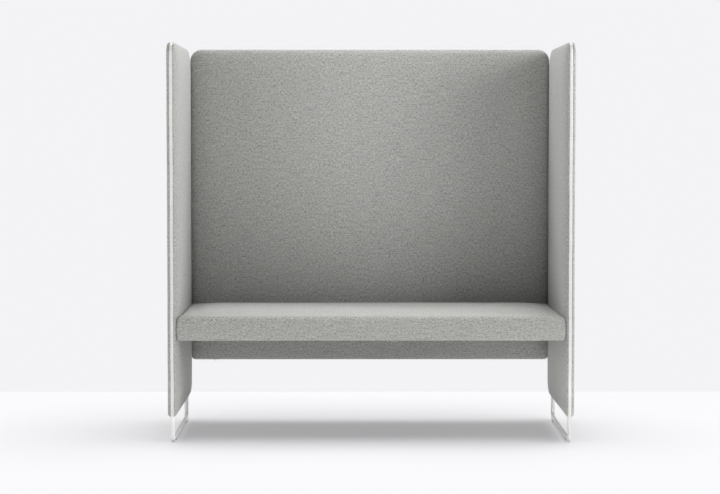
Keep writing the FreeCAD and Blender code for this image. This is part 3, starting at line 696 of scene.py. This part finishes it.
panelRadii = openingRadii(panelValues)
innerGrid = padGrid(panelBox, innerProfile(panelValues), panelRadii, panelValues["step"])
outerGrid = padGrid(panelBox, outerProfile(panelValues), panelRadii, panelValues["step"])
innerSwelling = panelSwelling("inner_cloth", innerGrid, 1, panelValues["innerCap"], heldInner(innerGrid))
outerSwelling = panelSwelling("outer_cloth", outerGrid, -1, panelValues["outerCap"], heldOuter(outerGrid))
for side, word in ((-1, "left"), (1, "right")):
    panelPad(word + "_inner_pad", side, innerGrid, innerSwelling, panelValues["innerSeed"] + side, 1,
             [word + "_inner_cover", word + "_inner_foam"])
    panelPad(word + "_outer_pad", side, outerGrid, outerSwelling, panelValues["outerSeed"] + side, -1,
             [word + "_outer_cover", word + "_outer_foam"])
print("side panels padded")


# Back: one closed cover with a zip in its lower edge

backValues = {
    "frontEdge": 21.7,     # levels forward from the rear face
    "rearEdge": 10.7,
    "crown": 46.0,
    "frontRoll": 60.0,
    "rearRoll": 10.0,
    "turns": [0.05, 0.1, 0.16, 0.24, 0.33, 0.43, 0.54, 0.65, 0.76, 0.88, 1.0],
    "seam": 0.3,           # how far the seam round the edge stands out
    "seamHalf": 1.5,
    "lowRadius": 16.0,
    "topRadius": 44.0,
    "growth": 0.35,
    "zipInset": 60.0,      # where the slot for the zip ends, in from the side edges
    "zipGap": 1.0,         # from the end of the slot to the end of the zip
    "lip": [(1.9, 2.5), (0.76, -0.05)],  # edge turned in along the zip: up, and away from the zip
    "lipHigh": 5.0,
    "step": 13.0,
    "cap": 4.5,
    "frontHold": (4.0, 55.0),
    "rearHold": (4.0, 30.0),
    "press": (6.0, 70.0),  # the seat's rear edge presses on the front face
    "weld": 0.02,
}
backBox = (backLow.x / mm, backLow.z / mm, backHigh.x / mm, backHigh.z / mm)
backRear = backHigh.y / mm
backZipEnd = backBox[2] - backValues["zipInset"]
backZipMiddle = (backValues["frontEdge"] + backValues["rearEdge"]) / 2


def backProfile(values, sign, edge, roll, face):
    seam = [(-values["seam"], backZipMiddle), (-values["seam"] / 3, edge - sign * values["seamHalf"])]
    return seam + rolled(roll, edge, face, values["turns"])


def backHalf(word, grid, sign, edge, hold, values):
    x, z, level = grid["place"][..., 0], grid["place"][..., 1].copy(), grid["level"].copy()
    flat = np.stack([sign * x, sign * -level, z], -1)
    level += -sign * swell(word + "_cloth", flat, hold, clothValues["rim"], values["cap"])[..., 1]
    slot = (np.abs(x) < backZipEnd) & (z < backBox[1] + values["lipHigh"])
    for ring, (up, away) in enumerate(values["lip"]):
        pick = slot & (grid["ring"] == ring)
        z[pick] = backBox[1] + up
        level[pick] = edge + sign * away
    return np.stack([x, backRear - level, z], -1).reshape(-1, 3).tolist()


def makeBack(values):
    frontProfile = backProfile(values, 1, values["frontEdge"], values["frontRoll"], values["crown"])
    rearProfile = backProfile(values, -1, values["rearEdge"], values["rearRoll"], 0.0)
    rearProfile.append((values["frontRoll"], 0.0))
    radii = openingRadii(values)
    front = padGrid(backBox, frontProfile, radii, values["step"])
    rear = padGrid(backBox, rearProfile, radii, values["step"])
    frontHold = fadeOut(front["inset"], *values["frontHold"])
    frontHold = np.maximum(frontHold, fadeOut(front["place"][..., 1] - seatHigh.z / mm, *values["press"]))
    rearHold = fadeOut(rear["inset"], *values["rearHold"])
    points = backHalf("front", front, 1, values["frontEdge"], frontHold, values)
    faces = gridFaces(front["columns"], front["rows"])
    faces += gridFaces(rear["columns"], rear["rows"], len(points))
    points += backHalf("rear", rear, -1, values["rearEdge"], rearHold, values)
    weave = np.concatenate([grid["weave"].reshape(-1, 2) for grid in (front, rear)])
    piece = coverPiece("back_pad", points, faces, weave, values["weld"])
    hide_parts("back_cover", "back_front_foam", "back_rear_foam")


makeBack(backValues)
print("back padded")


# Seat: its two ends follow the rolled faces of the side panels

seatValues = {
    "topRadius": 16.0,
    "topTurns": [0.1, 0.35, 0.6, 0.85, 1.1, 1.35],  # angles round the upper edge
    "lowRadius": 8.0,
    "lowTurns": [0.2, 0.6, 1.0, 1.35],
    "bulge": 1.5,
    "bulgeAt": [0.06, 0.2, 0.35, 0.5, 0.65, 0.8, 0.94],
    "crown": 10.0,
    "crownRun": 140.0,
    "crownAt": [0.08, 0.18, 0.3, 0.44, 0.6, 0.8, 1.0],
    "endRoll": 0.4,        # share of the upper radius by which the ends roll in
    "corner": 8.0,
    "growth": 0.3,
    "leastCorner": 2.0,
    "hem": 30.0,           # width of the turned edge underneath
    "hemLip": [(0.0, 3.5), (0.0, 0.6), (1.0, 0.0), (9.0, 0.0)],  # out from its edge, and up
    "hemFold": 4.0,
    "gap": 1.9,            # between the seat's ends and the side panels
    "step": 13.0,
    "cap": 3.0,
    "hold": (10.0, 90.0),
    "swellRings": 6,       # rings of the crown that swell with the middle
}


def seatRadii(inset):
    return [max(seatValues["corner"] + seatValues["growth"] * inset, seatValues["leastCorner"])] * 4


def endLine(y):
    inset = np.clip((y - panelBox[0]) / panelValues["innerRoll"], 0, 1)
    level = panelInnerEdge + (panelValues["crown"] - panelInnerEdge) * np.sqrt(1 - (1 - inset) ** 2)
    return outerFace - level - seatValues["gap"]


def seatProfile(values, low, high):
    top, under, crown = values["topRadius"], values["lowRadius"], values["crown"]
    shoulder = high - crown - top
    wall = shoulder - low - under
    profile = [(values["hem"] - out, low + up) for out, up in values["hemLip"]]
    profile.append((under + values["hemFold"], low))
    profile += [(under * (1 - math.sin(q)), low + under * (1 - math.cos(q))) for q in values["lowTurns"]]
    for share in values["bulgeAt"]:
        profile.append((-values["bulge"] * math.sin(math.pi * share), low + under + wall * share))
    profile += [(top * (1 - math.cos(q)), shoulder + top * math.sin(q)) for q in values["topTurns"]]
    start, level = profile[-1]
    for share in values["crownAt"]:
        inset = start + (values["crownRun"] - start) * share
        profile.append((inset, high - (high - level) * (1 - share) ** 2))
    return profile


def makeSeat(values):
    low, high = seatLow.z / mm, seatHigh.z / mm
    front, rear = seatLow.y / mm + values["bulge"], seatHigh.y / mm - values["bulge"]
    profile = seatProfile(values, low, high)
    wide = float(endLine(np.array(front)))
    grid = padGrid((-wide, front, wide, rear), profile, seatRadii, values["step"])
    x, y, z, inset = grid["place"][..., 0], grid["place"][..., 1], grid["level"], grid["inset"]
    wider = (1 - values["endRoll"]) * np.clip(inset, 0, values["topRadius"]) * (z > (low + high) / 2)
    points = np.stack([x * (1 + wider / (wide - inset)) * endLine(y) / wide, y, z], -1)
    hold = fadeOut(inset, *values["hold"])
    skip = len(profile) - values["swellRings"]
    points[..., 2] += swell("seat_cloth", points, hold, skip, values["cap"])[..., 2]
    faces = closedFaces(grid["columns"], grid["rows"])
    piece = coverPiece("seat_pad", points.reshape(-1, 3), faces, grid["weave"])
    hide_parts("seat_cover", "seat_foam")


makeSeat(seatValues)
print("seat padded")


# Zips: two rows of moulded teeth, each on a woven tape

chainValues = {
    "pitch": 2.7,
    "runDepth": 1.45,      # depth of the run that places are counted from
    "lowTurn": 60,         # how far round the lower corners a side zip goes, in degrees
    "endGap": 2.0,
    "near": 0.55,          # clear half-width in which the slider's neck runs
    "lock": -0.75,         # teeth reach past the middle where the chain stays closed
    "tip": 0.5,            # half-widths of a tooth, and where they lie
    "head": 0.66,
    "headRun": 0.9,
    "neck": 0.5,
    "neckEnd": 1.8,
    "foot": 1.05,
    "footStart": 2.35,
    "far": 3.2,
    "topDepth": 0.6,
    "bevel": 0.4,
    "bevelShare": 0.78,
    "sink": 0.05,          # how far a tooth goes into the tape
    "rise": 0.9,           # how much higher the chain lies where no slider runs
    "openEdge": 45.0,      # the rear edge in which the slider runs
    "openRun": 60.0,
    "tapeDepth": 2.35,
    "tapeThick": 0.75,
    "tapeGap": 0.25,
    "tapeCrown": 0.1,
    "tapeStep": 9.0,
    "tapeLeast": 7,
    "tuck": 0.8,           # how far the tape goes in under the covers
}


def line(y0, z0, y1, z1):
    length = math.hypot(y1 - y0, z1 - z0)
    dy, dz = (y1 - y0) / length, (z1 - z0) / length

    def at(share):
        same = np.ones(share.shape)
        return [y0 + (y1 - y0) * share, z0 + (z1 - z0) * share, dy * same, dz * same, dz * same, -dy * same]
    return {"length": length, "at": at}


def arc(y, z, radius, first, last):
    first, last = math.radians(first), math.radians(last)

    def at(share):
        turn = first + (last - first) * share
        c, s = np.cos(turn), np.sin(turn)
        return [y + radius * c, z + radius * s, s, -c, -c, -s]
    return {"length": radius * abs(last - first), "at": at}


def rimRun(box, low, top, depth, lowTurn):
    # up the front edge, along the top and down the rear edge
    y0, z0, y1, z1 = box
    return [
        arc(y0 + low, z0 + low, low - depth, 180 + lowTurn, 180),
        line(y0 + depth, z0 + low, y0 + depth, z1 - top),
        arc(y0 + top, z1 - top, top - depth, 180, 90),
        line(y0 + top, z1 - depth, y1 - top, z1 - depth),
        arc(y1 - top, z1 - top, top - depth, 90, 0),
        line(y1 - depth, z1 - top, y1 - depth, z0 + low),
        arc(y1 - low, z0 + low, low - depth, 0, -lowTurn),
    ]


def runEnds(run):
    return np.concatenate([[0.0], np.cumsum([part["length"] for part in run])])


def runSpots(run, ways, closed):
    # place, direction and inward direction at each distance along the run
    ends = runEnds(run)
    which = np.clip(np.searchsorted(ends, ways, side="right") - 1, 0, len(run) - 1)
    spots = np.zeros((len(ways), 6))
    for k, part in enumerate(run):
        pick = which == k
        share = (ways[pick] - ends[k]) / (ends[k + 1] - ends[k])
        spots[pick] = np.stack(part["at"](share), -1)
    lift = chainValues["rise"] * closed(spots)  # towards the rim where the chain stays closed
    spots[:, 0] -= spots[:, 4] * lift
    spots[:, 1] -= spots[:, 5] * lift
    return spots


def sectionPoints(spots, section, turnTo):
    # section: along the run, across it and depth; turnTo(y, z, across) gives the place in space
    along, across, depth = section[:, 0], section[:, 1], section[:, 2] - chainValues["runDepth"]
    y = spots[:, None, 0] + spots[:, None, 2] * along + spots[:, None, 4] * depth
    z = spots[:, None, 1] + spots[:, None, 3] * along + spots[:, None, 5] * depth
    return turnTo(y, z, np.broadcast_to(across, y.shape)).reshape(-1, 3).tolist()


def tubeFaces(start, sides, rings):
    faces = []
    for k in range(rings - 1):
        for i in range(sides):
            a, b = start + k * sides + i, start + k * sides + (i + 1) % sides
            faces.append([a, b, b + sides, a + sides])
    last = start + (rings - 1) * sides
    faces.append([last + i for i in range(sides)])
    faces.append([start + i for i in range(sides)][::-1])
    return faces


def toothSection(values, reach):
    half = [(values["tip"], reach), (values["head"], reach + values["headRun"]),
            (values["neck"], values["neckEnd"]), (values["foot"], values["footStart"]),
            (values["foot"], values["far"])]
    outline = half + [(-a, b) for a, b in reversed(half)]
    middle = sum(b for a, b in outline) / len(outline)
    top = values["topDepth"]
    levels = ((values["tapeDepth"] + values["sink"], 1.0), (top + values["bevel"], 1.0),
              (top, values["bevelShare"]))
    section = [(a * s, middle + (b - middle) * s, depth) for depth, s in levels for a, b in outline]
    return np.array(section), len(outline), len(levels)


def teeth(run, values, turnTo, offset, closed):
    total = sum(part["length"] for part in run)
    ways = np.arange(values["endGap"] + offset * values["pitch"], total - values["endGap"], values["pitch"])
    spots = runSpots(run, ways, closed)
    points, faces = [], []
    for shut, reach in ((True, values["lock"]), (False, values["near"])):
        pick = spots[(closed(spots) > 0.5) == shut]
        section, sides, rings = toothSection(values, reach)
        for k in range(len(pick)):
            faces += tubeFaces(len(points) + k * len(section), sides, rings)
        points += sectionPoints(pick, section, turnTo)
    return points, faces


def tape(run, values, turnTo, half, start, closed):
    ends = runEnds(run)
    ways = [np.linspace(a, b, max(int((b - a) / values["tapeStep"]), values["tapeLeast"]))
            for a, b in zip(ends[:-1], ends[1:])]
    ways = np.minimum(np.unique(np.concatenate(ways)), ends[-1] - tiny)
    spots = runSpots(run, ways, closed)
    top, low = values["tapeDepth"], values["tapeDepth"] + values["tapeThick"]
    near, far = values["near"] + values["tapeGap"], half + values["tuck"]
    middle = (near + far) / 2
    section = [(0, near, top), (0, near, low), (0, middle, low), (0, far, low), (0, far, top),
               (0, middle, top - values["tapeCrown"])]
    points = sectionPoints(spots, np.array(section), turnTo)
    return points, tubeFaces(start, len(section), len(spots))


def stringer(name, run, turnTo, half, offset, closed, replaced):
    points, faces = teeth(run, chainValues, turnTo, offset, closed)
    tapePoints, tapeFaces = tape(run, chainValues, turnTo, half, len(points), closed)
    kinds = [0] * len(faces) + [1] * len(tapeFaces)
    piece = meshPiece(name, points + tapePoints, faces + tapeFaces, "sofa",
                      [looks["white_tooth"], looks["white_tape"]], None, kinds, False)
    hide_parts(replaced)


def sideTurn(side, across):
    def turnTo(y, z, out):
        level = panelValues["middle"] + across * out - side * wander(side, y, z)
        return np.stack([side * (outerFace - level), y, z], -1)
    return turnTo


def sideClosed(spots):
    return np.clip((panelBox[2] - chainValues["openEdge"] - spots[:, 0]) / chainValues["openRun"], 0, 1)


def backTurn(across):
    def turnTo(x, z, out):
        return np.stack([x, backRear - backZipMiddle + across * out, 2 * backRunLevel - z], -1)
    return turnTo


def backClosed(spots):
    return np.zeros(len(spots))  # the slider runs along the whole zip


sideRun = rimRun(panelBox, panelValues["lowRadius"], panelValues["topRadius"],
                 chainValues["runDepth"], chainValues["lowTurn"])
sideHalf = panelValues["band"] / 2
for side, word in ((-1, "left"), (1, "right")):
    for offset, across, part in ((0.0, 1, "inner"), (0.5, -1, "outer")):
        stringer(word + "_zip_" + part + "_chain", sideRun, sideTurn(side, across), sideHalf, offset,
                 sideClosed, word + "_zip_" + part + "_stringer")
backRunLevel = backBox[1] + chainValues["runDepth"]
backRunEnd = backZipEnd - backValues["zipGap"]
backRun = [line(-backRunEnd, backRunLevel, backRunEnd, backRunLevel)]
backHalfBand = (backValues["frontEdge"] - backValues["rearEdge"]) / 2
for offset, across, part in ((0.0, -1, "front"), (0.5, 1, "rear")):
    stringer("back_zip_" + part + "_chain", backRun, backTurn(across), backHalfBand, offset,
             backClosed, "back_zip_" + part + "_stringer")
print("zips made")


# Lining under the seat

liningValues = {
    "sag": 3.0,
    "sagShape": (0.5, 0.7),  # powers along and across: the lower, the flatter in the middle
    "columns": 90,
    "rows": 40,
    "tug": 0.5,              # small pulls at the sewn edges
    "tugWaves": (77.0, 41.0),
    "tugFade": (22.0, 45.0),
    "tugEase": 0.4,
}


def makeLining(values):
    low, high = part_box("seat_lining")
    columns, rows = values["columns"], values["rows"]
    u, v = np.meshgrid(np.linspace(0, 1, columns), np.linspace(0, 1, rows))
    x = (low.x + (high.x - low.x) * u) / mm
    y = (low.y + (high.y - low.y) * v) / mm
    along, across = values["sagShape"]
    sag = values["sag"] * (4 * v * (1 - v)) ** across * (4 * u * (1 - u)) ** along
    waveU, waveV = values["tugWaves"]
    fadeU, fadeV = values["tugFade"]
    tug = np.sin(u * waveU) * np.exp(-np.minimum(v, 1 - v) * fadeU)
    tug = tug + np.sin(v * waveV) * np.exp(-np.minimum(u, 1 - u) * fadeV)
    z = low.z / mm - sag + values["tug"] * tug * (sag / (sag + values["tugEase"]))
    points = np.stack([x, y, z], -1).reshape(-1, 3)
    piece = meshPiece("seat_lining_sheet", points, gridFaces(columns, rows), "sofa",
                      [looks["black_lining"]])
    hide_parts("seat_lining")


makeLining(liningValues)
print("lining stretched")


# The frame's own nodes that stay get their finishes

for row in frame["record"]["subparts"]:
    look = looks.get(row["material_slot"])
    if look:
        data = nodes[row["node"]].data
        data.materials.clear()
        data.materials.append(look)
print("finishes set")


# Floor, light and camera

stageValues = {
    "floor": (0.63, 0.63, 0.642, 1),
    "bounce": (0.9, 0.9, 0.9, 1),    # the floor as it lights the sofa from below
    "shine": (0.947, 0.947, 0.965, 1),
    "wall": (0.896, 0.896, 0.913, 1),
    "line": 1.17,          # where the pale wall meets the floor
    "lift": 0.365,         # how far the floor's shadow is filled
    "sky": 0.148,
    "reach": 60.0,
    "sides": 96,
}


def backgroundSeen(start):
    # one where the background is looked at, also in a mirror or through glass
    kinds = ("Is Camera Ray", "Is Glossy Ray", "Is Transmission Ray")
    camera, glossy, through = [start.node("ShaderNodeLightPath", {}, {}, kind) for kind in kinds]
    return start.sum("MAXIMUM", start.sum("MAXIMUM", camera, glossy), through)


def blend(start, share, first, second):
    return start.node("ShaderNodeMixShader", {}, {0: share, 1: first, 2: second})


def makeFloor(values):
    mesh = bpy.data.meshes.new("floor")
    sides, reach = values["sides"], values["reach"]
    turns = [2 * math.pi * k / sides for k in range(sides)]
    ring = [(reach * math.cos(a), reach * math.sin(a), 0.0) for a in turns]
    mesh.from_pydata(ring, [], [list(range(sides))])
    floor = bpy.data.objects.new("floor", mesh)
    scene.collection.objects.link(floor)
    look, start = newLook("floor")
    where = start.node("ShaderNodeNewGeometry", {}, {}, "Position")
    far = start.sum("GREATER_THAN", axis(start, where, "Y"), values["line"])
    seen = backgroundSeen(start)
    board = start.node("ShaderNodeBsdfDiffuse", {}, {"Color": values["floor"]})
    under = start.node("ShaderNodeBsdfDiffuse", {}, {"Color": values["bounce"]})
    shine = start.node("ShaderNodeEmission", {}, {"Color": values["shine"], "Strength": 1.0})
    wall = start.node("ShaderNodeEmission", {}, {"Color": values["wall"], "Strength": 1.0})
    near = blend(start, seen, under, blend(start, values["lift"], board, shine))
    start.node("ShaderNodeOutputMaterial", {}, {"Surface": blend(start, seen * far, near, wall)})
    mesh.materials.append(look)
    return floor


def makeSky(values):
    world = bpy.data.worlds.new("studio")
    scene.world = world
    world.use_nodes = True
    world.node_tree.nodes.clear()
    start = Wire(world.node_tree)
    seen = backgroundSeen(start)
    light = start.node("ShaderNodeBackground", {}, {"Color": (1, 1, 1, 1), "Strength": values["sky"]})
    shown = start.node("ShaderNodeBackground", {}, {"Color": values["wall"], "Strength": 1.0})
    start.node("ShaderNodeOutputWorld", {}, {"Surface": blend(start, seen, light, shown)})


# a lamp with a spread shines in a narrow beam, and the nodes that it spares take no light from it
lampValues = {
    "above": {"spot": (0.0, 0.6, 2.9), "aim": (0.0, 0.0, 0.0), "size": (2.4, 1.0), "power": 43.0},
    "rightSide": {"spot": (3.6, -0.8, 2.0), "aim": (0.0, 0.0, 0.7), "size": (1.6, 2.0), "power": 104.0,
                  "spares": ["right_sled"]},
    "leftSide": {"spot": (-3.6, -0.8, 2.0), "aim": (0.0, 0.0, 0.7), "size": (1.6, 2.0), "power": 24.0},
    "rightFront": {"spot": (3.2, -3.4, 2.2), "aim": (-0.2, 0.0, 0.7), "size": (1.6, 2.0), "power": 41.0},
    "leftFront": {"spot": (-3.2, -3.4, 2.2), "aim": (0.2, 0.0, 0.7), "size": (1.6, 2.0), "power": 7.5},
    "centre": {"spot": (0.0, -6.0, 1.3), "aim": (0.0, 0.26, 1.02), "size": (0.8, 0.8), "power": 0.69,
               "spread": 11.0},
    "seatTop": {"spot": (0.0, -0.14, 2.7), "aim": (0.0, -0.13, 0.0), "size": (1.3, 0.4), "power": 0.76,
                "spread": 10.0},
    "lowFront": {"spot": (0.0, -1.0, 0.03), "aim": (0.0, 0.24, 0.25), "size": (1.3, 0.05), "power": 0.2,
                 "spread": 24.0},
    "lowLeft": {"spot": (-1.7, -1.9, 0.06), "aim": (0.66, -0.02, 0.2), "size": (0.6, 0.05), "power": 0.24,
                "spread": 10.0},
    "lowRight": {"spot": (1.7, -1.9, 0.06), "aim": (-0.66, -0.02, 0.2), "size": (0.6, 0.05), "power": 0.11,
                 "spread": 10.0},
    "rightRear": {"spot": (2.6, 4.2, 2.2), "aim": (0.2, 0.0, 0.7), "size": (1.6, 2.0), "power": 38.0},
    "leftRear": {"spot": (-2.6, 4.2, 2.2), "aim": (-0.2, 0.0, 0.7), "size": (1.6, 2.0), "power": 26.0},
}
floorLight = {"spot": (0, 0, 4), "power": 4.36, "soft": 66.0, "lean": (-4.0, 4.0)}  # for the floor alone


def newLamp(name, kind, values):
    data = bpy.data.lights.new(name, kind)
    data.energy = values["power"]
    lamp = bpy.data.objects.new(name, data)
    scene.collection.objects.link(lamp)
    lamp.location = values["spot"]
    return lamp, data


def limitLamp(lamp, pieces, state):
    group = bpy.data.collections.new(lamp.name + "_limits")
    for piece in pieces:
        group.objects.link(piece)
        group.collection_objects[-1].light_linking.link_state = state
    lamp.light_linking.receiver_collection = group


def makeLamp(name, values, floor):
    lamp, data = newLamp(name, "AREA", values)
    data.shape = "RECTANGLE"
    data.size, data.size_y = values["size"]
    data.spread = math.radians(values.get("spread", 180.0))
    x, y, z = np.array(values["aim"]) - np.array(values["spot"])
    lamp.rotation_euler = (math.atan2(math.hypot(x, y), -z), 0, math.atan2(y, x) - math.pi / 2)
    lamp.visible_camera = False
    limitLamp(lamp, [floor] + [nodes[node] for node in values.get("spares", [])], "EXCLUDE")


def makeFloorLight(values, floor):
    lamp, data = newLamp("floor_light", "SUN", values)
    data.angle = math.radians(values["soft"])
    lamp.rotation_euler = [math.radians(turn) for turn in values["lean"]] + [0]
    limitLamp(lamp, [floor], "INCLUDE")


cameraValues = {
    "spot": (-0.0638, -7.589, 1.079),
    "down": 2.985,         # degrees below level
    "right": 0.19,
    "lens": 102.5,
    "sensor": 36.0,
}


def makeCamera(values):
    data = bpy.data.cameras.new("camera")
    data.sensor_width = values["sensor"]
    data.lens = values["lens"]
    camera = bpy.data.objects.new("camera", data)
    scene.collection.objects.link(camera)
    camera.location = values["spot"]
    camera.rotation_euler = (math.radians(90 - values["down"]), 0, math.radians(-values["right"]))
    scene.camera = camera


floor = makeFloor(stageValues)
makeSky(stageValues)
for name, values in lampValues.items():
    makeLamp(name, values, floor)
makeFloorLight(floorLight, floor)
makeCamera(cameraValues)
scene.view_settings.view_transform = "Standard"
print("stage set")
